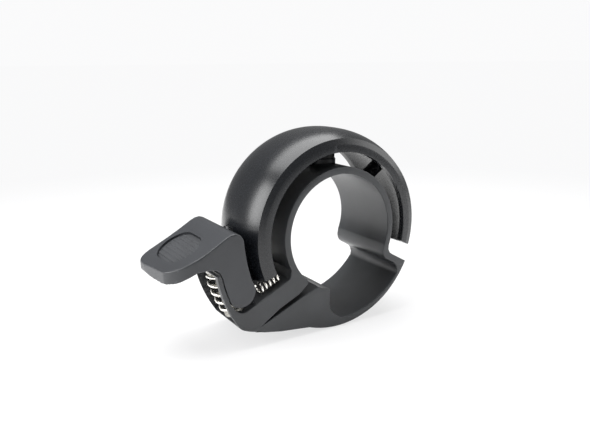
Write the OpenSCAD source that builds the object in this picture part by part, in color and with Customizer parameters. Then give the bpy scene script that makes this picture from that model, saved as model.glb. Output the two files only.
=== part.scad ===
// Ring-shaped bicycle bell for a round handlebar, with a thumb lever.
// The origin is the centre of the handlebar bore. Y runs along the bar, -Y is the front face,
// the thumb pad points to -X and +Z is up.

/* [Handlebar clamp] */
// Radius of the handlebar bore
bore_r = 11.1; // [10.8:0.1:13]
// Width of the bell along the bar
bell_w = 16; // [14:0.5:20]
// Thickness of the thin band round the bar
band_t = 1.28; // [1:0.04:1.4]
// Radius of the lower arm's outside
arm_r = 18.75; // [18.4:0.05:19.4]
// Thickness of the lower arm outside the cable channel
arm_t = 1.5; // [1.1:0.1:1.8]
// Width of the slit that the clamp bolt closes
slit_t = 0.8; // [0.5:0.1:1.2]

/* [Ringer] */
// Greatest radius of the barrel, at mid-width
ringer_r = 19.2; // [18.6:0.1:19.4]
// Radius of the ringer's outer edge at each face
ringer_edge_r = 17.42; // [17.2:0.05:17.6]
// Inside radius of the ringer's two lips
ringer_lip_r = 15.15; // [15:0.05:15.8]
// Thickness of the ringer's wall
ringer_t = 1.7; // [1.2:0.1:2]
// Angle of the ringer's left end
ringer_end = 202.5; // [196:0.5:204]
// Radius of the posts that carry the ringer
post_r = 2.9; // [2:0.1:3]
// Radius of the smaller post, over the ringer's right side
side_post_r = 2; // [1.9:0.1:2.4]
// Inside radius of the ringer's open back edge
ringer_back_r = 16.3; // [16:0.1:16.5]

/* [Thumb lever] */
// Length of the thumb pad past the lever's ridge
pad_len = 12.4; // [10:0.2:14]
// Thickness of the thumb pad
pad_t = 2.3; // [1.8:0.1:2.6]
// Thickness of each of the lever's two side arms
fork_t = 3.4; // [2.8:0.1:3.6]
// Radius of the pivot pin
pin_r = 1; // [0.8:0.1:1.1]
// Radius of the hammer's head
hammer_r = 1.25; // [1:0.05:1.4]

/* [Springs and screws] */
// Outside radius of the return spring
spring_r = 2.3; // [2:0.1:2.4]
// Wire diameter of the return spring
spring_wire = 0.65; // [0.4:0.05:0.7]
// Thread radius of the clamp bolt
bolt_r = 1.5; // [1.25:0.25:1.5]

/* [Hidden] */
$fn = 96;
half_w = bell_w / 2;
gap = 0.15;
run_gap = 0.05;
fit_gap = 0.01;
band_r = bore_r + band_t;
function polar(r, a) = [r * cos(a), r * sin(a)];
function arc(c, r, a0, a1, n = 24) = [for (i = [0:n]) c + polar(r, a0 + (a1 - a0) * i / n)];

// Base at the lower left: outer radius of its horn, pocket floor and lower corner
base_r = 26.1;
horn_in_r = 25.3;
horn_top = 188.6;
horn_low = 214;
pocket_inner = [-11.9, -7.4];
pocket_outer = [-20.6, -11.6];
arm_c = [-0.8, 0];
arm_tip = 333.6;

// Pivot of the thumb lever and the hollow side walls of the tower between its arms
pivot = [-22.2, -2.2];
tower_half = half_w - fork_t - gap;
channel_half = spring_r + 0.3;
heel = [-21.2, -7.9];
heel_r = 2.75;

// Return spring: a coil whose axis is an arc about the bore
spring_axis_r = 23.8;
spring_top = 191.7;
spring_low = 212;
spring_y = -2.2;
seat_t = 0.5;
button_t = 0.6;
seat_gap = 0.1;
function lug_foot(r) = polar(r, spring_top) + (seat_gap + button_t) * [sin(spring_top), -cos(spring_top)];

// Window beside the spring: the wall kept at the front face, and where it starts below the pivot
window_wall = 1.2;
window_top = 189.6;
channel_floor = spring_axis_r - spring_r - 0.3;

// The lower left side narrows towards the back face
taper_y = 2.5;
taper_r = 24.2;

// Ringer posts
posts = [[88, post_r], [36, side_post_r]];
post_top = 13.3;
grommet_t = 0.9;
stud_r = 0.9;
stud_low = band_r - 0.6;
stud_len = 5.6;

// Clamp bolt: point on the slit and angle of its axis from +Z towards -X
bolt_at = [-9.8, -12.1];
bolt_tilt = 23.3;
head_r = 2.6;
head_h = 1.9;
washer_t = 0.5;
head_seat = 3;
insert_r = 2;
insert_len = 2.6;

// Hammer: its stud slides in a bush and a clip on its tail stops it
hammer_z = 1.2;
hammer_gap = 0.5;
stem_r = 0.6;
bush_r = 1.05;
bush_len = 1.6;
clip_t = 0.25;
clip_at = 2.2;
ringer_at_hammer = -sqrt(ringer_r * ringer_r - hammer_z * hammer_z);
nose_x = ringer_at_hammer - hammer_gap;
bridge_x = -20.5;

module slab(w) {
  rotate([90, 0, 0])
    linear_extrude(w, center = true) children();
}

module across(y0, y1) {
  translate([0, (y0 + y1) / 2, 0]) slab(abs(y1 - y0)) children();
}

module y_rod(p, r, y0, y1) {
  translate([p[0], y1, p[1]])
    rotate([90, 0, 0]) cylinder(h = y1 - y0, r = r);
}

// Local +Z runs outwards along the radius at angle a
module on_radius(a, r) {
  rotate([0, -a, 0])
    translate([r, 0, 0])
      rotate([0, 90, 0]) children();
}

// Local +Z runs along the bolt, away from its head
module on_bolt(t) {
  translate([bolt_at[0], 0, bolt_at[1]])
    rotate([0, -bolt_tilt, 0])
      translate([0, 0, t]) children();
}

// ---- clamp body ----
module clamp_outline() {
  polygon(concat(
    arc([0, 0], band_r, -16, 207, 90),
    [[-11.25, -6.6], pocket_inner, [-19.9, -11.3], pocket_outer],
    [[-21.7, -11.5], [-22.5, -11], [-22.9, -10.3]],
    arc([0, 0], horn_in_r, 203.2, horn_top + 1.6, 12),
    [polar(base_r - 0.5, horn_top)],
    arc([0, 0], base_r, horn_top + 0.6, horn_low, 20),
    [[-20.9, -15.1], [-19.9, -15.5], [-16.9, -16.35], [-13.4, -16.98], [-10.2, -17.3]],
    arc(arm_c, arm_r, 250, arm_tip, 50),
    [[12.5, -6.35], [11.9, -5.9], [11.57, -5.2], [11.6, -4.4]]
  ));
}

module channel_outline() {
  polygon(concat(
    [[-2.63, -8], [-2.63, -14], [-2.35, -15], [-1.65, -16]],
    arc(arm_c + [0.9, 0], arm_r - arm_t, 270, 322, 30),
    [[13.83, -9.9], [13.6, -9], [12.7, -8.1], [11.14, -7.2], [10.4, -6.55], [10.05, -5.5],
     [10.2, -4]]
  ));
}

module slit_outline() {
  polygon([
    [-4, -9.3], [-5.4, -9.9], [-9.4, -11.4], [-13.7, -13.33], [-17.2, -14.85],
    [-13.7, -13.33 + slit_t], [-9.4, -11.4 + slit_t + 0.1], [-7.3, -8.7], [-6, -7]
  ]);
}

module tower_outline() {
  polygon(concat(
    arc(pivot, 1.5, 0, 150, 16),
    [[-25, -4.6]],
    arc([0, 0], base_r, 190.6, horn_low, 16),
    [[-21, -14], [-18.2, -11.4], [-18.4, -8.2], [-19.2, -5.3]]
  ));
}

module spring_channel() {
  across(-channel_half, channel_half) channel_plan(180);
  across(window_wall - half_w, channel_half) channel_plan(window_top);
}

module channel_plan(top) {
  polygon(concat(
    arc([0, 0], channel_floor, top, spring_low + 1, 16),
    arc([0, 0], base_r + 4, spring_low + 1, top, 16)
  ));
}

// Ring that the taper takes off, standing off by g, between two angles
module taper(g, a0, a1) {
  rotate([90, 0, 0])
    rotate([0, 0, a0])
      rotate_extrude(angle = a1 - a0)
        polygon([[base_r - g, -taper_y], [taper_r - g, -half_w], [taper_r - g, -bell_w],
                 [base_r + 5, -bell_w], [base_r + 5, -taper_y]]);
}

module clamp_body() {
  color("dimgray")
  difference() {
    union() {
      slab(bell_w) clamp_outline();
      slab(2 * tower_half) tower_outline();
      for (p = posts)
        on_radius(p[0], bore_r + 0.3) cylinder(h = post_top - bore_r - 0.3, r = p[1]);
    }
    y_rod([0, 0], bore_r, -bell_w, bell_w);
    slab(bell_w + 2) channel_outline();
    slab(bell_w + 2) slit_outline();
    spring_channel();
    taper(0, 180, 226);
    on_spring(spring_low) cylinder(h = seat_gap + seat_t, r = spring_r - 0.15);
    y_rod(pivot, pin_r + fit_gap, -bell_w, bell_w);
    across(-channel_half, channel_half) translate(pivot) circle(2);
    for (p = posts)
      on_radius(p[0], stud_low) cylinder(h = 6, r = stud_r + fit_gap);
    on_bolt(-12) cylinder(h = 12 - head_seat, r = head_r + 0.25);
    on_bolt(-12) cylinder(h = 12.6, r = bolt_r + 0.2);
    on_bolt(0.3) cylinder(h = insert_len + 0.7, r = insert_r + fit_gap);
    on_pin_screw(0) cylinder(h = 4, r = lock_r + fit_gap);
  }
}

module clamp_bolt() {
  color("silver")
  difference() {
    union() {
      on_bolt(-head_seat - washer_t - head_h) cylinder(h = head_h, r = head_r);
      on_bolt(-head_seat - washer_t - 0.1) cylinder(h = head_seat + washer_t + insert_len + 0.3, r = bolt_r);
    }
    on_bolt(-head_seat - washer_t - head_h - 1) cylinder(h = 2.2, r = 1.25, $fn = 6);
  }
}

module clamp_washer() {
  color("silver")
  on_bolt(-head_seat - washer_t)
    difference() {
      cylinder(h = washer_t, r = head_r + 0.1);
      translate([0, 0, -1]) cylinder(h = washer_t + 2, r = bolt_r + run_gap);
    }
}

module thread_insert() {
  color("goldenrod")
  on_bolt(0.4)
    difference() {
      cylinder(h = insert_len, r = insert_r);
      translate([0, 0, -1]) cylinder(h = insert_len + 2, r = bolt_r + run_gap);
    }
}

// ---- ringer ----
function barrel(y) = ringer_edge_r + (ringer_r - ringer_edge_r) * (1 - pow(abs(y) / half_w, 2.6));

module ringer_section() {
  n = 12;
  lip = 1.4;
  polygon(concat(
    [[ringer_lip_r, -half_w], [ringer_edge_r - 0.85, -half_w]],
    [for (i = [-n:n]) let (y = i / n * (half_w - 0.45)) [barrel(y), y]],
    [[ringer_edge_r - 0.4, half_w], [ringer_back_r, half_w]],
    [for (i = [n:-1:-n]) let (y = i / n * (half_w - lip)) [barrel(y) - ringer_t, y]],
    [[ringer_lip_r, lip - half_w]]
  ));
}

module ringer() {
  boss_low = post_top + grommet_t;
  color("black")
  difference() {
    union() {
      rotate([90, 0, 0])
        rotate([0, 0, -24])
          rotate_extrude(angle = ringer_end + 24) ringer_section();
      for (p = posts)
        on_radius(p[0], boss_low) cylinder(h = ringer_r - 0.6 - boss_low, r = p[1] - 0.6);
    }
    rotate([0, 26, 0])
      translate([0, -bell_w, 2.83 - 30]) cube([30, 2 * bell_w, 30]);
    for (p = posts)
      on_radius(p[0], stud_low) cylinder(h = stud_len + 0.2, r = stud_r + fit_gap);
  }
}

module ringer_grommets() {
  color("darkslategray")
  for (p = posts)
    on_radius(p[0], post_top)
      difference() {
        cylinder(h = grommet_t, r = p[1] - 0.2);
        translate([0, 0, -1]) cylinder(h = grommet_t + 2, r = stud_r + 0.55);
      }
}

module ringer_sleeves() {
  color("silver")
  for (p = posts)
    on_radius(p[0], post_top + 0.02)
      difference() {
        cylinder(h = grommet_t - 0.04, r = stud_r + 0.5);
        translate([0, 0, -1]) cylinder(h = grommet_t + 2, r = stud_r + run_gap);
      }
}

module ringer_studs() {
  color("silver")
  for (p = posts)
    on_radius(p[0], stud_low + 0.1) cylinder(h = stud_len - 0.2, r = stud_r);
}

// ---- thumb lever ----
// Side view of the arm, with its rounded heel
module arm_outline() {
  polygon(concat(
    arc([-22.1, 1.6], 1.2, 95, 35, 6),
    [[-20.5, 1.5], [-20.35, 0], [-20, -2.4], [-19.65, -4], [-19.25, -5.6]],
    arc(heel, heel_r, 12, -140, 18),
    arc([0, 0], horn_in_r - gap, 202.4, 190.6, 12),
    [[-25.3, -3.4], [-26.2, -2.9], [-27.6, 0]]
  ));
}

pad_tip = [pivot[0] - pad_len + 0.2, -3.3];

module pad_side() {
  polygon([
    [-21.3, 2.6], [-22.1, 2.85], [-22.8, 2.8], [-23.8, 2.3], [-26, 1], [-30, -1.1],
    [-32.4, -2.3], pad_tip, pad_tip + [-0.3, -0.7], pad_tip + [0.1, -pad_t + 0.3],
    [-32.2, -4.6], [-29.2, -0.6 - pad_t], [-27.4, -2.75], [-26, -2.95], [-24.4, -1.2],
    [-21.6, 0], [-20.45, 0], [-20.5, 1.6]
  ]);
}

module pad_plan() {
  polygon(concat(
    [[-20, half_w], [-20, -half_w], [-27.5, -half_w]],
    arc([-27.8, -1.6], 6.4, 270, 200, 14),
    [[-34.3, 1.2], [-34.6, 4]],
    arc([-32.3, half_w - 2.3], 2.3, 175, 90, 8)
  ));
}

// Lug between the walls of the spring channel, which the return spring pushes on
module lug_outline() {
  polygon([lug_foot(25.6), lug_foot(21.9), [-20.9, -2.2], [-20.7, 0.2], [-24.4, -1], [-26, -2.95]]);
}

inlay_r = 3.7;
inlay_long = 1.7;
inlay_deep = 0.45;

// Local +Z leaves the sloping face of the pad; 0 is the floor of its recess
module inlay_place(t) {
  translate([-28.9, 1.1, -0.6])
    rotate([0, -27.5, 0]) translate([0, 0, t - inlay_deep]) children();
}

// Rounded oblong of height h, larger all round by g
module inlay_plan(h, g) {
  hull()
    for (y = [-inlay_long, inlay_long])
      translate([0, y, 0]) cylinder(h = h, r = inlay_r + g);
}

module lever_solid() {
  difference() {
    union() {
      intersection() {
        slab(bell_w) pad_side();
        linear_extrude(40, center = true) pad_plan();
      }
      across(-half_w, -half_w + fork_t) arm_outline();
      across(half_w - fork_t, half_w) arm_outline();
      across(-channel_half + gap, channel_half - gap) lug_outline();
    }
    across(window_wall - half_w, fork_t - half_w + 0.1) channel_plan(window_top);
    taper(gap, 190.6, 212);
    y_rod(pivot, pin_r + 0.5, 1 - half_w, bell_w);
    on_hammer(-clip_at - clip_t - 0.3) cylinder(h = 6, r = bush_r + fit_gap);
    inlay_place(0) inlay_plan(6, fit_gap);
  }
}

module thumb_lever() {
  color("dimgray") lever_solid();
}

module pad_inlay() {
  color("black")
  inlay_place(0) inlay_plan(inlay_deep - 0.1, -fit_gap);
}

// ---- pivot ----
module pivot_pin() {
  color("silver")
  y_rod(pivot, pin_r, 1.4 - half_w, half_w - 0.3);
}

module pivot_bushes() {
  color("ivory")
  for (s = [-1, 1])
    difference() {
      y_rod(pivot, pin_r + 0.5 - fit_gap, s > 0 ? half_w - fork_t : 1.4 - half_w,
            s > 0 ? half_w - 0.6 : fork_t - half_w);
      y_rod(pivot, pin_r + run_gap, -bell_w, bell_w);
    }
}

lock_r = 0.6;

// Local +Z leaves the pin through the tower's right-hand side
module on_pin_screw(t) {
  translate([pivot[0], (tower_half + channel_half) / 2, pivot[1]])
    rotate([0, 125, 0]) translate([0, 0, t]) children();
}

module pin_screw() {
  color("silver")
  on_pin_screw(pin_r + 0.02) cylinder(h = 1, r = lock_r);
}

// ---- hammer ----
// Local +Z runs along the hammer's stem towards the ringer; 0 is the lever's right-hand face
module on_hammer(t) {
  translate([bridge_x + t, 0, hammer_z])
    rotate([0, 90, 0]) children();
}

module hammer() {
  head = nose_x - bridge_x - 0.05;
  color("gray") {
    on_hammer(0.05) cylinder(h = head - 0.3, r = hammer_r);
    on_hammer(head - 0.25) cylinder(h = 0.3, r1 = hammer_r, r2 = hammer_r - 0.35);
    on_hammer(-clip_at - clip_t) cylinder(h = clip_at + clip_t + 0.1, r = stem_r);
  }
}

module hammer_bush() {
  color("ivory")
  on_hammer(-bush_len - 0.05)
    difference() {
      cylinder(h = bush_len, r = bush_r);
      translate([0, 0, -1]) cylinder(h = bush_len + 2, r = stem_r + run_gap);
    }
}

module hammer_clip() {
  color("silver")
  on_hammer(-clip_at - clip_t)
    difference() {
      cylinder(h = clip_t, r = bush_r - 0.1);
      translate([0, 0, -1]) cylinder(h = clip_t + 2, r = stem_r + fit_gap);
    }
}

// ---- springs ----
// Local +Z runs down along the spring's arc at angle a
module on_spring(a) {
  rotate([0, -a, 0])
    translate([spring_axis_r, spring_y, 0]) children();
}

function ring_point(c, u, v, r, a) = c + r * (cos(a) * u + sin(a) * v);

// A tube of radius w along the points p, each with its own frame u and v
module tube(p, u, v, w, m = 8) {
  n = len(p);
  verts = [for (i = [0:n - 1]) for (j = [0:m - 1]) ring_point(p[i], u[i], v[i], w, 360 * j / m)];
  sides = [for (i = [0:n - 2]) for (j = [0:m - 1])
    [i * m + j, i * m + (j + 1) % m, (i + 1) * m + (j + 1) % m, (i + 1) * m + j]];
  ends = [[for (j = [m - 1:-1:0]) j], [for (j = [0:m - 1]) (n - 1) * m + j]];
  polyhedron(verts, concat(sides, ends));
}

function unit(a) = a / norm(a);

module return_spring() {
  turns = 4.5;
  n = 126;
  coil_r = spring_r - spring_wire / 2;
  a0 = spring_top + 0.9;
  a1 = spring_low - 0.9;
  function spot(t) =
    let (a = a0 + (a1 - a0) * t, w = 360 * turns * t, r = spring_axis_r + coil_r * cos(w))
    [r * cos(a), spring_y + coil_r * sin(w), r * sin(a)];
  p = [for (i = [0:n]) spot(i / n)];
  u = [for (i = [0:n]) let (t = i / n, a = a0 + (a1 - a0) * t, w = 360 * turns * t)
    [cos(w) * cos(a), sin(w), cos(w) * sin(a)]];
  g = [for (i = [0:n]) unit(spot(i / n + 0.001) - spot(i / n - 0.001))];
  v = [for (i = [0:n]) cross(g[i], u[i])];
  color("silver") tube(p, u, v, spring_wire / 2);
}

module spring_button() {
  color("ivory")
  on_spring(spring_top) {
    translate([0, 0, -seat_gap - button_t]) cylinder(h = button_t, r = spring_r - 0.3);
    translate([0, 0, -0.2]) cylinder(h = 0.9, r = spring_r - spring_wire - 0.2);
  }
}

module spring_seat() {
  color("ivory")
  on_spring(spring_low) {
    translate([0, 0, seat_gap]) cylinder(h = seat_t, r = spring_r - 0.2);
    translate([0, 0, -0.7]) cylinder(h = 1, r = spring_r - spring_wire - 0.2);
  }
}

// Two small springs between the lever's heels and the corner of the pocket
module heel_springs() {
  color("silver")
  for (s = [-1, 1])
    translate([-13.3, s * (half_w - 1.8), -6.75])
      rotate([0, -90 - 25.8, 0]) coil(4.4, 0.95, 0.2, 5);
}

module coil(len, r, wire, turns) {
  n = turns * 24;
  function spot(t) = [r * cos(360 * turns * t), r * sin(360 * turns * t), len * t];
  p = [for (i = [0:n]) spot(i / n)];
  u = [for (i = [0:n]) [cos(360 * turns * i / n), sin(360 * turns * i / n), 0]];
  g = [for (i = [0:n]) unit(spot(i / n + 0.001) - spot(i / n - 0.001))];
  v = [for (i = [0:n]) cross(u[i], g[i])];
  tube(p, v, u, wire, 6);
}

clamp_body();
clamp_bolt();
clamp_washer();
thread_insert();
ringer();
ringer_grommets();
ringer_sleeves();
ringer_studs();
thumb_lever();
pad_inlay();
spring_button();
pivot_pin();
pivot_bushes();
hammer();
hammer_bush();
return_spring();
spring_seat();
heel_springs();
pin_screw();
hammer_clip();
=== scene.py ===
# %% [markdown]
# A ring-shaped bicycle bell. A thin clamp band goes round the handlebar, a C-section metal ringer stands
# off it on two rubber-mounted posts, and a sprung thumb lever swings a small hammer at the ringer.
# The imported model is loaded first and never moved: every new piece is built where it already lies.

# %% Load the frame
import math

import bmesh
import bpy
from mathutils import Matrix, Vector


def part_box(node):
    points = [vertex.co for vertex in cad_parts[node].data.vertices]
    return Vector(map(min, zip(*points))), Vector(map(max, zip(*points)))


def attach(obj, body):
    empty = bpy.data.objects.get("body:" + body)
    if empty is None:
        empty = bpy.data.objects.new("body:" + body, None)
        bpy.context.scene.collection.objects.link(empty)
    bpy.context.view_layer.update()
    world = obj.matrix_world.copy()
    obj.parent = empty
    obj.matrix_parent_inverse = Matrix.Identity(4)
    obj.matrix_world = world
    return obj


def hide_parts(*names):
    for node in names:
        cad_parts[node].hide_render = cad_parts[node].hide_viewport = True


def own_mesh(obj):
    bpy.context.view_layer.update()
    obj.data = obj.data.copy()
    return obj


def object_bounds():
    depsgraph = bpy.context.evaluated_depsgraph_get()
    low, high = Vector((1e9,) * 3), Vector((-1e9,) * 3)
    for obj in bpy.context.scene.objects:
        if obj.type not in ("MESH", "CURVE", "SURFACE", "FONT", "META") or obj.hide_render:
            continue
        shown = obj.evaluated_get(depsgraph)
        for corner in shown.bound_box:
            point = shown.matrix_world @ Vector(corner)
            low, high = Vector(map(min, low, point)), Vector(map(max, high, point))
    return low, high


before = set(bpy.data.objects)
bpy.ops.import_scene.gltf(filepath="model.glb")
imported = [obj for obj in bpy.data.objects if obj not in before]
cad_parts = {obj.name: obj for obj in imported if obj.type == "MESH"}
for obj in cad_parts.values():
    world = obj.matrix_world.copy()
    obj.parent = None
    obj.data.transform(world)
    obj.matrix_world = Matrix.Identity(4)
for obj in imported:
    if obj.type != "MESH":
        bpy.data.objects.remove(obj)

MM = 0.001
scene = bpy.context.scene
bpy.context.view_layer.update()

# %% [markdown]
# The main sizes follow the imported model, so they are written once here, in millimetres. The bore is the
# origin of everything: the band, the ringer and the spring's bent axis are all circles about it.

# %% Sizes of the bell
half_w = 8.0
bore_r, band_r = 11.1, 12.38
ringer_r, edge_r, lip_r, back_r, wall = 19.2, 17.42, 15.15, 16.3, 1.7
ringer_end, cut_tilt, cut_height = 202.5, 26.0, 2.83
base_r, horn_in_r, horn_top, horn_low = 26.1, 25.3, 188.6, 214.0
fork_t, side_gap = 3.4, 0.15
tower_half = half_w - fork_t - side_gap
channel_half, spring_axis_r = 2.6, 23.8
spring_y, window_wall, window_top = -2.2, 1.2, 189.6
pivot, heel, heel_r = (-22.2, -2.2), (-21.2, -7.9), 2.75
arm_c, arm_r, arm_t = (-0.8, 0.0), 18.75, 1.5
hammer_z, bridge_x = 1.2, -20.5
post_sizes = ((88, 2.9, 2.3), (36, 2, 1.4))  # angle, radius on the clamp, radius on the ringer
taper_from, taper_to = 181.3, 225.7
recess_depth = 0.45
print("tower half width, mm:", tower_half)


# %% [markdown]
# Outlines are lists of points in the front view. Only corners are typed in: every round stretch is an
# arc worked out from its centre, radius and angles, so it stays round at any resolution.

# %% Helpers for outlines
def polar(r, a, c=(0.0, 0.0)):
    return (c[0] + r * math.cos(math.radians(a)), c[1] + r * math.sin(math.radians(a)))


def arc(c, r, a0, a1, n=24):
    return [polar(r, a0 + (a1 - a0) * i / n, c) for i in range(n + 1)]


def area(loop):
    pairs = zip(loop, loop[1:] + loop[:1])
    return sum(a[0] * b[1] - b[0] * a[1] for a, b in pairs) / 2


print("points on a full bore:", len(arc((0, 0), bore_r, 0, 360, 180)))


# %% [markdown]
# A machined plate has a flat face, a straight wall and a small broken edge between them. A filled curve
# gives exactly that: it extrudes the outline, leaves its holes open, and rounds both edges by itself.

# %% Helpers for solid pieces
def bake(obj):
    """Replace an object by its evaluated mesh, with no modifiers left."""
    graph = bpy.context.evaluated_depsgraph_get()
    mesh = bpy.data.meshes.new_from_object(obj.evaluated_get(graph))
    name = obj.name
    bpy.data.objects.remove(obj)
    return add_mesh(name, mesh)


def add_mesh(name, mesh):
    obj = bpy.data.objects.new(name, mesh)
    mesh.name = name
    scene.collection.objects.link(obj)
    return obj


def plate(name, outer, y0, y1, edge=0.0, holes=()):
    """Extrude a front-view outline from y0 to y1, with rounded edges, as a mesh in metres."""
    curve = bpy.data.curves.new(name, "CURVE")
    curve.dimensions = "2D"
    curve.fill_mode = "BOTH"
    thick = abs(y1 - y0)
    curve.extrude = (thick / 2 - edge) * MM
    curve.bevel_depth = edge * MM
    curve.bevel_resolution = 2
    curve.offset = -edge * MM
    for i, loop in enumerate([outer] + list(holes)):
        turn = 1 if (area(loop) > 0) == (i == 0) else -1
        spline = curve.splines.new("POLY")
        spline.points.add(len(loop) - 1)
        for p, (x, z) in zip(spline.points, loop[::turn]):
            p.co = (x * MM, z * MM, 0, 1)
        spline.use_cyclic_u = True
    obj = bpy.data.objects.new(name, curve)
    scene.collection.objects.link(obj)
    obj = bake(obj)
    up = Matrix.Translation((0, (y0 + y1) / 2 * MM, 0)) @ Matrix.Rotation(math.pi / 2, 4, "X")
    obj.data.transform(up)
    clean(obj)
    return obj


def clean(obj, merge=0.002):
    """Merge doubles and turn every face outwards."""
    bm = bmesh.new()
    bm.from_mesh(obj.data)
    bmesh.ops.remove_doubles(bm, verts=bm.verts, dist=merge * MM)
    bmesh.ops.dissolve_degenerate(bm, edges=bm.edges, dist=merge * MM / 2)
    bmesh.ops.recalc_face_normals(bm, faces=bm.faces)
    bm.to_mesh(obj.data)
    bm.free()


def combine(obj, others, how, crossing=False):
    """Boolean: UNION, DIFFERENCE or INTERSECT with each of the others, which are used up."""
    for other in others:
        mod = obj.modifiers.new("cut", "BOOLEAN")
        mod.operation = how
        mod.solver = "EXACT"
        mod.use_self = crossing
        mod.object = other
    name = obj.name
    obj = bake(obj)
    for other in others:
        bpy.data.objects.remove(other)
    obj.name = name
    clean(obj)
    return obj


def skin(bm, rings):
    """Join each ring of vertices to the next with quads."""
    for low, high in zip(rings, rings[1:]):
        for i in range(len(low)):
            j = (i + 1) % len(low)
            bm.faces.new((low[i], low[j], high[j], high[i]))


def keep(bm, name):
    """Turn a finished bmesh into an object of its own."""
    mesh = bpy.data.meshes.new(name)
    bm.to_mesh(mesh)
    bm.free()
    return add_mesh(name, mesh)


def rod(name, start, end, r, r_end=None, sides=64, edge=0.0):
    """A round bar between two points in millimetres, with an optional small chamfer at each end."""
    start, end = Vector(start), Vector(end)
    length = (end - start).length
    r_end = r if r_end is None else r_end
    bm = bmesh.new()
    stations = [(0, r - edge), (edge, r), (length - edge, r_end), (length, r_end - edge)]
    if edge == 0:
        stations = [(0, r), (length, r_end)]
    rings = []
    for z, radius in stations:
        rings.append([bm.verts.new((*polar(radius, 360 * i / sides), z)) for i in range(sides)])
    skin(bm, rings)
    bm.faces.new(rings[0][::-1])
    bm.faces.new(rings[-1])
    turn = (end - start).to_track_quat("Z", "Y").to_matrix().to_4x4()
    bm.transform(Matrix.Scale(MM, 4) @ Matrix.Translation(start) @ turn)
    return keep(bm, name)


def smooth(obj, angle=32, weighted=True):
    """Smooth shading with crisp edges, and face-weighted normals so that flats stay flat."""
    obj.data.polygons.foreach_set("use_smooth", [True] * len(obj.data.polygons))
    obj.data.set_sharp_from_angle(angle=math.radians(angle))
    if weighted:
        mod = obj.modifiers.new("flats", "WEIGHTED_NORMAL")
        mod.keep_sharp = True
    return obj


# %% [markdown]
# The camera looks at the lever's side from a little above, with a moderate lens. Its place is given by
# its distance, azimuth and elevation, and by how far the bore's centre sits from the middle of the frame.

# %% Camera
azimuth, elevation, roll = map(math.radians, (31.12, 14.09, -0.55))
distance, aside, above = 125.55, 4.85, -0.59
back = Vector((-math.sin(azimuth) * math.cos(elevation), -math.cos(azimuth) * math.cos(elevation),
               math.sin(elevation)))
level = Vector((math.cos(azimuth), -math.sin(azimuth), 0))
upright = back.cross(level)
right = level * math.cos(roll) + upright * math.sin(roll)
top = back.cross(right)
spot = back * distance - right * aside - top * above + Vector((0, -0.336, 0))
camera = bpy.data.objects.new("camera", bpy.data.cameras.new("camera"))
scene.collection.objects.link(camera)
camera.matrix_world = Matrix.Translation(spot * MM) @ Matrix((right, top, back)).transposed().to_4x4()
camera.data.sensor_width = 36
camera.data.lens = 38.57
camera.data.clip_start = 0.005
scene.camera = camera
print("camera at, mm:", [round(v, 1) for v in spot])


# %% [markdown]
# Every finish here is a fine one: bead-blasted and anodised black, moulded polymer, nickel wire. Each
# material has a grain at its real scale in bump and roughness, and a slow drift in tone, both read from
# Object coordinates so that they stay on the piece when it moves.

# %% Helper for finishes
def finish(name, colour, metallic, rough, grain=2600, bump=0.05, drift=0.25, wear=0.0, coat=0.0):
    """A Principled finish: colour drift, grain in roughness and bump, and paler worn edges."""
    mat = bpy.data.materials.new(name)
    mat.use_nodes = True
    tree = mat.node_tree
    new, link = tree.nodes.new, tree.links.new
    shader = tree.nodes["Principled BSDF"]
    shader.inputs["Metallic"].default_value = metallic
    shader.inputs["Coat Weight"].default_value = coat
    shader.inputs["Coat Roughness"].default_value = 0.25
    where = new("ShaderNodeTexCoord")
    slow, fine = new("ShaderNodeTexNoise"), new("ShaderNodeTexNoise")
    slow.inputs["Scale"].default_value = 160
    slow.inputs["Detail"].default_value = 3
    fine.inputs["Scale"].default_value = grain
    fine.inputs["Detail"].default_value = 4
    link(where.outputs["Object"], slow.inputs["Vector"])
    link(where.outputs["Object"], fine.inputs["Vector"])
    tone = new("ShaderNodeValToRGB")
    tone.color_ramp.elements[0].position = 0.35
    tone.color_ramp.elements[1].position = 0.65
    tone.color_ramp.elements[0].color = [c * (1 - drift) for c in colour] + [1]
    tone.color_ramp.elements[1].color = [c * (1 + drift) for c in colour] + [1]
    link(slow.outputs["Fac"], tone.inputs["Fac"])
    paint = tone.outputs["Color"]
    if wear:
        edge = new("ShaderNodeNewGeometry")
        ramp = new("ShaderNodeValToRGB")
        ramp.color_ramp.elements[0].position = 0.53
        ramp.color_ramp.elements[1].position = 0.62
        mix = new("ShaderNodeMix")
        mix.data_type = "RGBA"
        mix.inputs["B"].default_value = [min(1, c * 2.2 + wear * 0.1) for c in colour] + [1]
        link(edge.outputs["Pointiness"], ramp.inputs["Fac"])
        scale = new("ShaderNodeMath")
        scale.operation = "MULTIPLY"
        scale.inputs[1].default_value = wear
        link(ramp.outputs["Color"], scale.inputs[0])
        link(scale.outputs[0], mix.inputs["Factor"])
        link(paint, mix.inputs["A"])
        paint = mix.outputs["Result"]
    link(paint, shader.inputs["Base Color"])
    span = new("ShaderNodeMapRange")
    span.inputs["To Min"].default_value = rough * 0.85
    span.inputs["To Max"].default_value = min(1, rough * 1.15)
    link(fine.outputs["Fac"], span.inputs["Value"])
    link(span.outputs["Result"], shader.inputs["Roughness"])
    relief = new("ShaderNodeBump")
    relief.inputs["Strength"].default_value = bump
    relief.inputs["Distance"].default_value = 0.03 * MM
    link(fine.outputs["Fac"], relief.inputs["Height"])
    link(relief.outputs["Normal"], shader.inputs["Normal"])
    return mat


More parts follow.
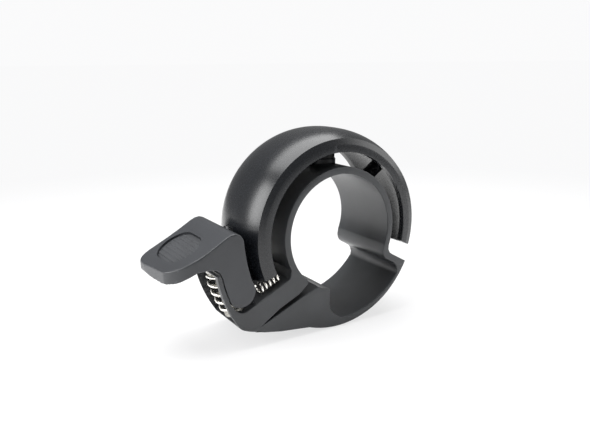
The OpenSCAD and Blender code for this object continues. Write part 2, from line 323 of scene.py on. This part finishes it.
# %% Finishes of the bell
body_black = finish("blasted_black_alloy", (0.026, 0.028, 0.031), 0.0, 0.4, 3200, 0.06, 0.15, 0.5)
ringer_black = finish("anodised_black_ringer", (0.006, 0.007, 0.009), 0.0, 0.28, 4200, 0.01, 0.1, 0.4)
lever_black = finish("moulded_black_lever", (0.026, 0.028, 0.032), 0.0, 0.42, 3600, 0.08, 0.1, 0.3)
grip_black = finish("soft_black_grip", (0.03, 0.032, 0.036), 0.0, 0.55, 4200, 0.2, 0.15)
rubber_black = finish("grommet_rubber", (0.018, 0.018, 0.018), 0.0, 0.7, 3000, 0.3, 0.2)
steel = finish("plain_steel", (0.55, 0.55, 0.56), 1.0, 0.3, 1800, 0.08, 0.08)
dark_steel = finish("blackened_steel", (0.03, 0.03, 0.033), 0.3, 0.35, 2400, 0.1, 0.2, 0.6)
nickel = finish("nickel_wire", (0.86, 0.84, 0.79), 1.0, 0.2, 2600, 0.04, 0.04)
brass = finish("turned_brass", (0.72, 0.55, 0.28), 1.0, 0.3, 2000, 0.06, 0.08)
white_polymer = finish("natural_polymer", (0.62, 0.61, 0.57), 0.0, 0.4, 2600, 0.1, 0.05)
print("finishes made:", len([m for m in bpy.data.materials if m.use_nodes]))


# %% [markdown]
# The clamp body is one machined part: the band, the base under the lever, the S-shaped link on the right
# and the lower arm that leaves room for a cable. Its front view is one closed outline with one hole, made
# of the bore, the cable channel and the slit, so it is drawn once and extruded.

# %% Outline of the clamp body
def clamp_outline():
    pocket = [(-11.25, -6.6), (-11.5, -7.15), (-11.9, -7.4), (-19.9, -11.3), (-20.6, -11.6)]
    pocket += [(-21.2, -11.65), (-21.8, -11.45), (-22.5, -11), (-22.9, -10.3)]
    corner = [(-21.35, -14.85), (-20.9, -15.1), (-19.9, -15.5), (-16.9, -16.35), (-13.4, -16.98)]
    link = [(12.5, -6.35), (11.9, -5.9), (11.57, -5.2), (11.6, -4.4)]
    return (arc((0, 0), band_r, -16, 207, 130) + pocket
            + arc((0, 0), horn_in_r, 203.2, horn_top + 1.6, 20) + [polar(base_r - 0.45, horn_top)]
            + arc((0, 0), base_r, horn_top + 0.6, horn_low, 36) + corner + [(-10.2, -17.3)]
            + arc(arm_c, arm_r, 250, 333.6, 80) + link)


def clamp_hole():
    lip = [(13.83, -9.9), (13.6, -9), (13.2, -8.45), (12.7, -8.1), (11.14, -7.2), (10.55, -6.7),
           (10.22, -6.1), (10.1, -5.4)]
    inner = arc((arm_c[0] + 0.9, arm_c[1]), arm_r - arm_t, 270, 322, 50)
    slit_low = [(-17.2, -14.85), (-13.7, -13.33), (-9.4, -11.4), (-5.4, -9.9)]
    slit_high = [(-7.4, -8.75), (-9.4, -10.5), (-13.7, -12.53)]
    lower_bore = arc((0, 0), bore_r, 242, 256.3, 12)
    channel = [(-2.63, -11.6), (-2.63, -14), (-2.35, -15), (-1.65, -16)]
    return (slit_low + lower_bore + channel + inner + lip
            + arc((0, 0), bore_r, -21.5, 227.5, 170) + slit_high)


print("outline points:", len(clamp_outline()), "hole points:", len(clamp_hole()))


# %% [markdown]
# The tower between the lever's fork arms and the slot for the return spring are not the full width, so
# they are added to and cut from the plate afterwards, as a milling cutter would do it.

# %% Clamp body
def tower_outline():
    return (arc(pivot, 1.5, 0, 150, 24) + [(-25, -4.6)] + arc((0, 0), base_r - 0.02, 190.6, horn_low, 24)
            + [(-21, -14), (-18.2, -11.4), (-18.4, -8.2), (-19.2, -5.3)])


def slot_outline(top):
    return arc((0, 0), 21.2, top, 213, 24) + arc((0, 0), base_r + 4, 213, top, 24)


def taper(inset, a0, a1, steps=60):
    """The ring that the taper towards the back face takes off, as a closed solid."""
    section = [(base_r - inset, 2.5), (24.2 - inset, half_w), (24.2 - inset, 16), (32, 16), (32, 2.5)]
    bm = bmesh.new()
    rings = []
    for k in range(steps + 1):
        points = [(polar(r, a0 + (a1 - a0) * k / steps), y) for r, y in section]
        rings.append([bm.verts.new((x * MM, y * MM, z * MM)) for (x, z), y in points])
    skin(bm, rings)
    bm.faces.new(rings[0])
    bm.faces.new(rings[-1][::-1])
    bmesh.ops.recalc_face_normals(bm, faces=bm.faces)
    return keep(bm, "taper")


def radial(a, r, y=0):
    x, z = polar(r, a)
    return (x, y, z)


def bolt_point(t):
    tilt = math.radians(23.3)
    return (-9.8 - t * math.sin(tilt), 0, -12.1 + t * math.cos(tilt))


clamp = plate("clamp_shell", clamp_outline(), -half_w, half_w, 0.18, [clamp_hole()])
tower = plate("tower", tower_outline(), -tower_half, tower_half, 0.15)
clamp = combine(clamp, [taper(0, taper_from, taper_to)], "DIFFERENCE", crossing=True)
tower = combine(tower, [taper(0.02, taper_from, taper_to)], "DIFFERENCE")
posts = [rod("post", radial(a, 11.6), radial(a, 13.3), r, sides=96, edge=0.15)
         for a, r, _ in post_sizes]
clamp = combine(clamp, [tower] + posts, "UNION")
slot = plate("slot", slot_outline(180), -channel_half, channel_half)
window = plate("window", slot_outline(window_top), window_wall - half_w, channel_half)
knuckle_room = plate("room", arc(pivot, 2.0, 0, 350, 35), -channel_half, channel_half)
bolt_hole = rod("bolt_hole", bolt_point(-12), bolt_point(0.7), 1.7)
bolt_seat = rod("bolt_seat", bolt_point(-12), bolt_point(-3), 2.85)
insert_hole = rod("insert_hole", bolt_point(0.3), bolt_point(3.6), 2.01)
pin_hole = rod("pin_hole", (pivot[0], -12, pivot[1]), (pivot[0], 12, pivot[1]), 1.01)
cuts = [slot, window, knuckle_room, bolt_hole, bolt_seat, insert_hole, pin_hole]
clamp = combine(clamp, cuts, "DIFFERENCE")
clamp.data.materials.clear()
clamp.data.materials.append(body_black)
smooth(clamp)
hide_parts("clamp_body")
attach(clamp, "clamp")
print("clamp body faces:", len(clamp.data.polygons))


# %% [markdown]
# The ringer is turned on a lathe as a full ring with a C section, and then cut to an arc. Its shape
# follows a rule, a barrel curve outside and a lip turned inwards in front, so the section is a formula
# and the ring is swept. Each point starts on the slanting cut line, so the cut needs no boolean.

# %% Ringer
def barrel(y, less=0.0):
    return edge_r - less + (ringer_r - edge_r) * (1 - abs(y / half_w) ** 2.6)


def ringer_section(n=40):
    chamfer, lip = 0.42, 1.4
    outside = [(barrel(y), y) for y in [(half_w - chamfer) * i / n for i in range(-n, n + 1)]]
    front = [(lip_r + 0.1, -half_w), (edge_r - 0.95, -half_w), (edge_r - 0.82, -half_w + 0.04)]
    rear = [(edge_r - 0.45, half_w - 0.03), (edge_r - 0.55, half_w), (back_r + 0.1, half_w)]
    inside = [(barrel(y, wall), y) for y in [(half_w - lip) * i / n for i in range(n, -n - 1, -1)]]
    rim_rear = [(back_r, half_w - 0.1)]
    rim_front = [(lip_r + 0.1, lip - half_w), (lip_r, lip - half_w - 0.1), (lip_r, 0.1 - half_w)]
    return front + outside + rear + rim_rear + inside + rim_front


def sweep_ringer(section, steps=240):
    bm = bmesh.new()
    centre = (sum(r for r, y in section) / len(section), 0)
    rings = []
    for k in range(-1, steps + 2):
        t = min(max(k, 0), steps) / steps
        shrink = 0.0 if 0 <= k <= steps else 0.12
        ring = []
        for r, y in section:
            start = math.degrees(math.asin(cut_height / r)) - cut_tilt
            inset = math.degrees(0.12 / r)
            a = start + inset + (ringer_end - start - 2 * inset) * t
            a += (-inset if k < 0 else inset if k > steps else 0)
            to = Vector((centre[0] - r, -y))
            slide = to.normalized() * min(shrink, to.length)
            x, z = polar(r + slide.x, a)
            ring.append(bm.verts.new((x * MM, (y + slide.y * 0.5) * MM, z * MM)))
        rings.append(ring)
    n = len(section)
    skin(bm, rings)
    for end in (rings[0], rings[-1]):
        edges = [bm.edges.get((end[i], end[(i + 1) % n])) for i in range(n)]
        bmesh.ops.triangle_fill(bm, edges=edges, use_beauty=True)
    bmesh.ops.recalc_face_normals(bm, faces=bm.faces)
    return keep(bm, "ringer_shell")


ringer = sweep_ringer(ringer_section())
bosses = [rod("boss", radial(a, 14.2), radial(a, 18.2), r, sides=64, edge=0.12)
          for a, _, r in post_sizes]
ringer = combine(ringer, bosses, "UNION")
ringer.data.materials.clear()
ringer.data.materials.append(ringer_black)
smooth(ringer, 25)
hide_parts("ringer")
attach(ringer, "clamp")
print("ringer faces:", len(ringer.data.polygons))


# %% [markdown]
# The thumb lever is moulded, so all its edges are soft and its arms flow into the pad. Sharp blocks are
# joined first, then remeshed into one even skin of small quads and relaxed, which rounds every edge by
# about the same amount. The recess and the bores are cut last, because they are crisp on the real lever.

# %% Lever outlines
def arm_outline():
    return (arc((-22.1, 1.6), 1.2, 95, 35, 8)
            + [(-20.5, 1.5), (-20.35, 0), (-20, -2.4), (-19.65, -4), (-19.25, -5.6)]
            + arc(heel, heel_r, 12, -140, 30)
            + arc((0, 0), horn_in_r - side_gap, 202.4, 190.6, 16)
            + [(-25.3, -3.4), (-26.2, -2.9), (-27.6, -0.6)])


def pad_side():
    return [(-20.9, 2.3), (-21.3, 2.7), (-22.1, 2.95), (-22.9, 2.85), (-23.8, 2.45), (-26, 1.15),
            (-28, 0.05), (-30, -0.98), (-32.4, -2.2), (-34.4, -3.2), (-34.75, -3.6), (-34.75, -4.4),
            (-34.2, -5.3), (-32.2, -4.6), (-29.2, -2.9), (-27.4, -2.75), (-26, -2.95), (-24.4, -1.2),
            (-21.6, 0), (-20.45, 0), (-20.45, 1.6)]


def pad_plan():
    return ([(-20, half_w), (-20, -half_w), (-27.5, -half_w)] + arc((-27.8, -1.6), 6.4, 270, 200, 20)
            + [(-34.3, 1.2), (-34.6, 4)] + arc((-32.3, half_w - 2.3), 2.3, 175, 90, 10))


def lug_outline():
    low = 190.0
    return [polar(25.6, low), polar(21.9, low), (-20.9, -2.2), (-20.7, 0.2), (-24.4, -1), (-26, -2.95)]


print("pad length, mm:", round(pad_side()[1][0] - min(x for x, z in pad_side()), 1))


# %% Lever
def soften(obj, voxel, rounds):
    """Remesh into even quads and relax them, which rounds every edge."""
    mod = obj.modifiers.new("skin", "REMESH")
    mod.mode = "VOXEL"
    mod.voxel_size = voxel * MM
    mod = obj.modifiers.new("relax", "SMOOTH")
    mod.factor = 0.5
    mod.iterations = rounds
    return bake(obj)


def oblong(name, r, low, high, edge=0.0):
    """A rounded oblong block along Y, from low to high, about the middle of the recess."""
    ends = arc((0, 1.7), r, 0, 180, 40) + arc((0, -1.7), r, 180, 360, 40)
    block = plate(name, ends, -high, -low, edge)
    block.data.transform(Matrix.Rotation(-math.pi / 2, 4, "X"))
    return block


pad = plate("lever_shell", pad_side(), -half_w, half_w)
plan = plate("plan", pad_plan(), -20, 20)
plan.data.transform(Matrix.Rotation(-math.pi / 2, 4, "X"))
pad = combine(pad, [plan], "INTERSECT")
arms = [plate("arm", arm_outline(), y - fork_t / 2, y + fork_t / 2)
        for y in (-half_w + fork_t / 2, half_w - fork_t / 2)]
lug = plate("lug", lug_outline(), 0.15 - channel_half, channel_half - 0.15)
lever = combine(pad, arms + [lug], "UNION")
relief = plate("relief", slot_outline(window_top), window_wall - half_w, fork_t - half_w + 0.1)
lever = combine(lever, [relief, taper(side_gap, 190.6, 212)], "DIFFERENCE")
lever = soften(lever, 0.14, 12)
tilt = math.radians(27.5)
recess_c = Vector((-28.9, 1.1, -0.6))
recess_up = Vector((-math.sin(tilt), 0, math.cos(tilt)))
recess_floor = (Matrix.Translation((recess_c - recess_up * recess_depth) * MM)
                @ Matrix.Rotation(-tilt, 4, "Y"))
recess = oblong("recess", 3.71, 0, 6)
recess.data.transform(recess_floor)
pin_room = rod("pin_room", (pivot[0], 1 - half_w, pivot[1]), (pivot[0], 12, pivot[1]), 1.5)
bush_room = rod("bush_room", (bridge_x - 2.75, 0, hammer_z), (bridge_x + 3, 0, hammer_z), 1.06)
lever = combine(lever, [recess, pin_room, bush_room], "DIFFERENCE")
lever.data.materials.clear()
lever.data.materials.append(lever_black)
smooth(lever, 40, weighted=False)
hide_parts("thumb_lever")
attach(lever, "lever")
print("lever faces:", len(lever.data.polygons))


# %% [markdown]
# Both springs are round wire wound on a cylinder, and the return spring's axis is bent to follow the base.
# A Geometry Nodes tree winds a spiral, bends it about the bore and gives it its wire, so one tree with
# named inputs makes every spring in the bell.

# %% Spring tree
def calculator(tree):
    """A short way to add a Math node, whose inputs are numbers or sockets."""
    def calc(op, a, b=None):
        node = tree.nodes.new("ShaderNodeMath")
        node.operation = op
        for i, value in enumerate((a, b)):
            if isinstance(value, (int, float)):
                node.inputs[i].default_value = value
            elif value is not None:
                tree.links.new(value, node.inputs[i])
        return node.outputs[0]
    return calc


def spring_tree():
    tree = bpy.data.node_groups.new("wound_spring", "GeometryNodeTree")
    tree.interface.new_socket("Geometry", in_out="OUTPUT", socket_type="NodeSocketGeometry")
    for label in ("Turns", "Coil radius", "Wire radius", "Length", "Bend radius"):
        tree.interface.new_socket(label, in_out="INPUT", socket_type="NodeSocketFloat")
    tree.interface.new_socket("Material", in_out="INPUT", socket_type="NodeSocketMaterial")
    new, link = tree.nodes.new, tree.links.new
    given, result = new("NodeGroupInput"), new("NodeGroupOutput")

    calc = calculator(tree)
    spiral = new("GeometryNodeCurveSpiral")
    spiral.inputs["Resolution"].default_value = 48
    link(given.outputs["Turns"], spiral.inputs["Rotations"])
    link(given.outputs["Coil radius"], spiral.inputs["Start Radius"])
    link(given.outputs["Coil radius"], spiral.inputs["End Radius"])
    link(given.outputs["Length"], spiral.inputs["Height"])
    at, parts = new("GeometryNodeInputPosition"), new("ShaderNodeSeparateXYZ")
    link(at.outputs[0], parts.inputs[0])
    angle = calc("DIVIDE", parts.outputs["Z"], given.outputs["Bend radius"])
    reach = calc("ADD", parts.outputs["X"], given.outputs["Bend radius"])
    bent = new("ShaderNodeCombineXYZ")
    along = calc("MULTIPLY", reach, calc("COSINE", angle))
    link(calc("SUBTRACT", along, given.outputs["Bend radius"]), bent.inputs["X"])
    link(parts.outputs["Y"], bent.inputs["Y"])
    link(calc("MULTIPLY", reach, calc("SINE", angle)), bent.inputs["Z"])
    place = new("GeometryNodeSetPosition")
    link(spiral.outputs["Curve"], place.inputs["Geometry"])
    link(bent.outputs[0], place.inputs["Position"])
    wire, round_wire = new("GeometryNodeCurveToMesh"), new("GeometryNodeCurvePrimitiveCircle")
    round_wire.inputs["Resolution"].default_value = 16
    link(given.outputs["Wire radius"], round_wire.inputs["Radius"])
    link(place.outputs["Geometry"], wire.inputs["Curve"])
    link(round_wire.outputs["Curve"], wire.inputs["Profile Curve"])
    wire.inputs["Fill Caps"].default_value = True
    real, paint = new("GeometryNodeRealizeInstances"), new("GeometryNodeSetMaterial")
    link(wire.outputs["Mesh"], real.inputs["Geometry"])
    link(real.outputs["Geometry"], paint.inputs["Geometry"])
    link(given.outputs["Material"], paint.inputs["Material"])
    link(paint.outputs["Geometry"], result.inputs["Geometry"])
    return tree


wound = spring_tree()
print("spring inputs:", [s.name for s in wound.interface.items_tree if s.in_out == "INPUT"])


# %% Springs
def grow(name, tree, **values):
    """Run a tree on an empty mesh and keep the result as a plain mesh."""
    obj = add_mesh(name, bpy.data.meshes.new(name))
    mod = obj.modifiers.new("grow", "NODES")
    mod.node_group = tree
    for item in tree.interface.items_tree:
        label = item.name.replace(" ", "_").lower()
        if item.in_out == "INPUT" and label in values:
            mod[item.identifier] = values[label]
    obj = bake(obj)
    clean(obj, 0.0005)
    return obj


def wind(name, turns, coil_r, wire_r, length, bend_r):
    return grow(name, wound, turns=float(turns), coil_radius=coil_r * MM, wire_radius=wire_r * MM,
                length=length * MM, bend_radius=bend_r * MM, material=nickel)


spring_top, spring_low = 192.6, 211.1
sweep = math.radians(spring_low - spring_top) * spring_axis_r
main_spring = wind("return_coil", 4.5, 1.975, 0.325, sweep, spring_axis_r)
print("return spring length, mm:", round(sweep, 2))


# %% [markdown]
# The return spring's bend lies in the plane of the front view, so the wound shape, which rises along +Z
# and bends about a centre on -X, is turned to start at the spring's top and run down along the base.

# %% Place the springs
# The bend rises from +X towards +Z; the turn about Y brings +X to the spring's top, and the bore's
# centre back to the origin. Angles grow towards +Z as in every outline.
main_spring.data.transform(
    Matrix.Rotation(-math.radians(spring_top), 4, "Y")
    @ Matrix.Translation((spring_axis_r * MM, spring_y * MM, 0)))
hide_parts("return_spring")
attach(main_spring, "clamp")
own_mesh(main_spring)

heel_coils = wind("heel_coils", 5, 0.95, 0.2, 4.4, 1000)
heel_coils.data.transform(Matrix.Translation((-13.3 * MM, 0, -6.75 * MM))
                          @ Matrix.Rotation(-math.radians(90 + 25.8), 4, "Y"))
heel_y = (half_w - 1.8) * MM
bm = bmesh.new()
bm.from_mesh(heel_coils.data)
bmesh.ops.translate(bm, verts=list(bm.verts), vec=(0, -heel_y, 0))
twin = bmesh.ops.duplicate(bm, geom=list(bm.verts) + list(bm.edges) + list(bm.faces))["geom"]
twin = [part for part in twin if isinstance(part, bmesh.types.BMVert)]
bmesh.ops.translate(bm, verts=twin, vec=(0, 2 * heel_y, 0))
bm.to_mesh(heel_coils.data)
bm.free()
for coil in (main_spring, heel_coils):
    smooth(coil, 60, weighted=False)
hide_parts("heel_springs")
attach(heel_coils, "clamp")
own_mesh(heel_coils)
print("coil faces:", len(main_spring.data.polygons), len(heel_coils.data.polygons))


# %% [markdown]
# The pad's recess holds a thin soft inlay with plain ridges for grip. The ridges run across the pad and
# repeat at one pitch, so Geometry Nodes set one small rounded bar on each point of a line and scale it to
# the chord of a circle about the middle of the recess.

# %% Grip inlay
def ridge_tree():
    tree = bpy.data.node_groups.new("grip_ridges", "GeometryNodeTree")
    tree.interface.new_socket("Geometry", in_out="OUTPUT", socket_type="NodeSocketGeometry")
    for label in ("Radius", "Pitch", "Ridge width"):
        tree.interface.new_socket(label, in_out="INPUT", socket_type="NodeSocketFloat")
    tree.interface.new_socket("Count", in_out="INPUT", socket_type="NodeSocketInt")
    tree.interface.new_socket("Material", in_out="INPUT", socket_type="NodeSocketMaterial")
    new, link = tree.nodes.new, tree.links.new
    given, result = new("NodeGroupInput"), new("NodeGroupOutput")

    calc = calculator(tree)
    line = new("GeometryNodeMeshLine")
    line.mode = "OFFSET"
    half = calc("MULTIPLY", calc("SUBTRACT", given.outputs["Count"], 1), -0.5)
    start, step = new("ShaderNodeCombineXYZ"), new("ShaderNodeCombineXYZ")
    link(calc("MULTIPLY", half, given.outputs["Pitch"]), start.inputs["X"])
    link(given.outputs["Pitch"], step.inputs["X"])
    link(given.outputs["Count"], line.inputs["Count"])
    link(start.outputs[0], line.inputs["Start Location"])
    link(step.outputs[0], line.inputs["Offset"])
    bar = new("GeometryNodeMeshCylinder")
    bar.inputs["Vertices"].default_value = 20
    bar.inputs["Depth"].default_value = 2.0
    link(given.outputs["Ridge width"], bar.inputs["Radius"])
    lay = new("GeometryNodeTransform")
    lay.inputs["Rotation"].default_value = (math.pi / 2, 0, 0)
    link(bar.outputs["Mesh"], lay.inputs["Geometry"])
    at, parts = new("GeometryNodeInputPosition"), new("ShaderNodeSeparateXYZ")
    link(at.outputs[0], parts.inputs[0])
    square = calc("MULTIPLY", parts.outputs["X"], parts.outputs["X"])
    full = calc("MULTIPLY", given.outputs["Radius"], given.outputs["Radius"])
    chord = new("ShaderNodeCombineXYZ")
    chord.inputs["X"].default_value = 1.0
    chord.inputs["Z"].default_value = 0.6
    link(calc("SQRT", calc("SUBTRACT", full, square)), chord.inputs["Y"])
    put = new("GeometryNodeInstanceOnPoints")
    link(line.outputs["Mesh"], put.inputs["Points"])
    link(lay.outputs["Geometry"], put.inputs["Instance"])
    link(chord.outputs[0], put.inputs["Scale"])
    real, paint = new("GeometryNodeRealizeInstances"), new("GeometryNodeSetMaterial")
    link(put.outputs["Instances"], real.inputs["Geometry"])
    link(real.outputs["Geometry"], paint.inputs["Geometry"])
    link(given.outputs["Material"], paint.inputs["Material"])
    link(paint.outputs["Geometry"], result.inputs["Geometry"])
    return tree


inlay = oblong("grip_inlay", 3.68, 0.02, 0.22, 0.06)
ridges = grow("ridges", ridge_tree(), radius=4.9 * MM, pitch=0.9 * MM, ridge_width=0.22 * MM, count=7,
              material=grip_black)
ridges.data.transform(Matrix.Translation((0, 0, 0.2 * MM)))
inlay = combine(inlay, [ridges], "UNION")
inlay.data.transform(recess_floor)
inlay.data.materials.clear()
inlay.data.materials.append(grip_black)
smooth(inlay, 40)
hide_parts("pad_inlay")
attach(inlay, "lever")
print("inlay faces:", len(inlay.data.polygons))


# %% [markdown]
# The hammer is a turned stud with a domed nose, so its profile is revolved. The small fittings keep their
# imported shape, which is already right, and get their own metal, rubber or polymer.

# %% Hammer and small fittings
def turned(name, profile, start, direction, material, sides=64):
    """Revolve (distance along, radius) pairs about a direction."""
    bm = bmesh.new()
    rings = [[bm.verts.new((*polar(r, 360 * i / sides), z)) for i in range(sides)] for z, r in profile]
    skin(bm, rings)
    bm.faces.new(rings[0][::-1])
    bm.faces.new(rings[-1])
    turn = Vector(direction).to_track_quat("Z", "Y").to_matrix().to_4x4()
    bm.transform(Matrix.Scale(MM, 4) @ Matrix.Translation(start) @ turn)
    obj = keep(bm, name)
    obj.data.materials.append(material)
    return smooth(obj, 40)


low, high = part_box("hammer")
reach = (high[0] - low[0]) / MM
head_at = reach - (high[0] / MM - bridge_x) + 0.06
dome = [(reach - 0.35 + 0.35 * math.sin(math.radians(a)), 0.35 + 0.9 * math.cos(math.radians(a)))
        for a in range(0, 91, 10)]
stem = [(0, 0.5), (0.1, 0.6), (head_at, 0.6), (head_at + 0.001, 1.15), (head_at + 0.1, 1.25)]
hammer = turned("hammer_turned", stem + dome, (low[0] / MM, 0, hammer_z), (1, 0, 0), dark_steel)
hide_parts("hammer")
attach(hammer, "hammer")

looks = {"clamp_bolt": steel, "clamp_washer": steel, "thread_insert": brass, "ringer_grommets": rubber_black,
         "ringer_sleeves": steel, "ringer_studs": steel, "spring_button": white_polymer,
         "pivot_pin": steel, "pivot_bushes": white_polymer, "pin_screw": steel,
         "hammer_bush": rubber_black, "hammer_clip": steel, "spring_seat": white_polymer}
for node, material in looks.items():
    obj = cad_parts[node]
    obj.data.materials.clear()
    obj.data.materials.append(material)
print("packed nodes that keep their shape:", len(looks))


# %% [markdown]
# The bell stands on a plain pale floor under soft light from above and both sides. The floor and the
# world are nearly white to the camera alone. Reflections and shading see the lit floor and a grey world,
# so the black finishes stay dark.

# %% Floor, world and lamps
def pale(name, colour):
    """A pale surface that the camera sees nearly white: part shaded, part its own light."""
    mat = bpy.data.materials.new(name)
    mat.use_nodes = True
    tree = mat.node_tree
    shader, out = tree.nodes["Principled BSDF"], tree.nodes["Material Output"]
    shader.inputs["Base Color"].default_value = (*colour, 1)
    shader.inputs["Roughness"].default_value = 0.9
    shader.inputs["Specular IOR Level"].default_value = 0.1
    glow = tree.nodes.new("ShaderNodeEmission")
    glow.inputs["Color"].default_value = (0.95, 0.95, 0.955, 1)
    rays, share = tree.nodes.new("ShaderNodeLightPath"), tree.nodes.new("ShaderNodeMath")
    share.operation = "MULTIPLY"
    where, far = tree.nodes.new("ShaderNodeTexCoord"), tree.nodes.new("ShaderNodeVectorMath")
    far.operation = "LENGTH"
    fade = tree.nodes.new("ShaderNodeMapRange")
    fade.inputs["From Min"].default_value = 0.04
    fade.inputs["From Max"].default_value = 0.2
    fade.inputs["To Min"].default_value = 0.72
    tree.links.new(where.outputs["Object"], far.inputs[0])
    tree.links.new(far.outputs["Value"], fade.inputs["Value"])
    tree.links.new(fade.outputs["Result"], share.inputs[1])
    tree.links.new(rays.outputs["Is Camera Ray"], share.inputs[0])
    mix = tree.nodes.new("ShaderNodeMixShader")
    tree.links.new(share.outputs[0], mix.inputs["Fac"])
    tree.links.new(shader.outputs["BSDF"], mix.inputs[1])
    tree.links.new(glow.outputs["Emission"], mix.inputs[2])
    tree.links.new(mix.outputs["Shader"], out.inputs["Surface"])
    return mat


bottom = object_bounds()[0][2]
sheet = bpy.data.meshes.new("floor")
reach = 30.0
sheet.from_pydata([(-reach, -reach, 0), (reach, -reach, 0), (reach, reach, 0), (-reach, reach, 0)], [],
                  [(0, 1, 2, 3)])
floor = add_mesh("floor", sheet)
floor.location.z = bottom - 0.0002
sheet.materials.append(pale("pale_floor", (0.93, 0.93, 0.93)))

world = bpy.data.worlds.new("studio")
scene.world = world
world.use_nodes = True
tree = world.node_tree
sky = tree.nodes["Background"]
sky.inputs["Strength"].default_value = 1.0
rays = tree.nodes.new("ShaderNodeLightPath")
shade = tree.nodes.new("ShaderNodeMix")
shade.data_type = "RGBA"
shade.inputs["A"].default_value = (0.3, 0.3, 0.3, 1)
shade.inputs["B"].default_value = (0.96, 0.96, 0.965, 1)
tree.links.new(rays.outputs["Is Camera Ray"], shade.inputs["Factor"])
tree.links.new(shade.outputs["Result"], sky.inputs["Color"])


def lamp(name, place, size, power, aim=(0, 0, 0)):
    data = bpy.data.lights.new(name, "AREA")
    data.shape = "RECTANGLE"
    data.size, data.size_y = size[0] * MM, size[1] * MM
    data.energy = power
    obj = bpy.data.objects.new(name, data)
    scene.collection.objects.link(obj)
    place = Vector(place) * MM
    facing = (Vector(aim) * MM - place).to_track_quat("-Z", "Y")
    obj.matrix_world = Matrix.Translation(place) @ facing.to_matrix().to_4x4()
    return obj


lamp("top_box", (0, 40, 240), (300, 220), 1.15)
lamp("left_box", (-260, 60, 110), (140, 200), 0.75)
lamp("right_box", (220, -120, 110), (140, 200), 0.3)
scene.view_settings.view_transform = "Standard"
print("floor at, mm:", round(bottom / MM, 2))
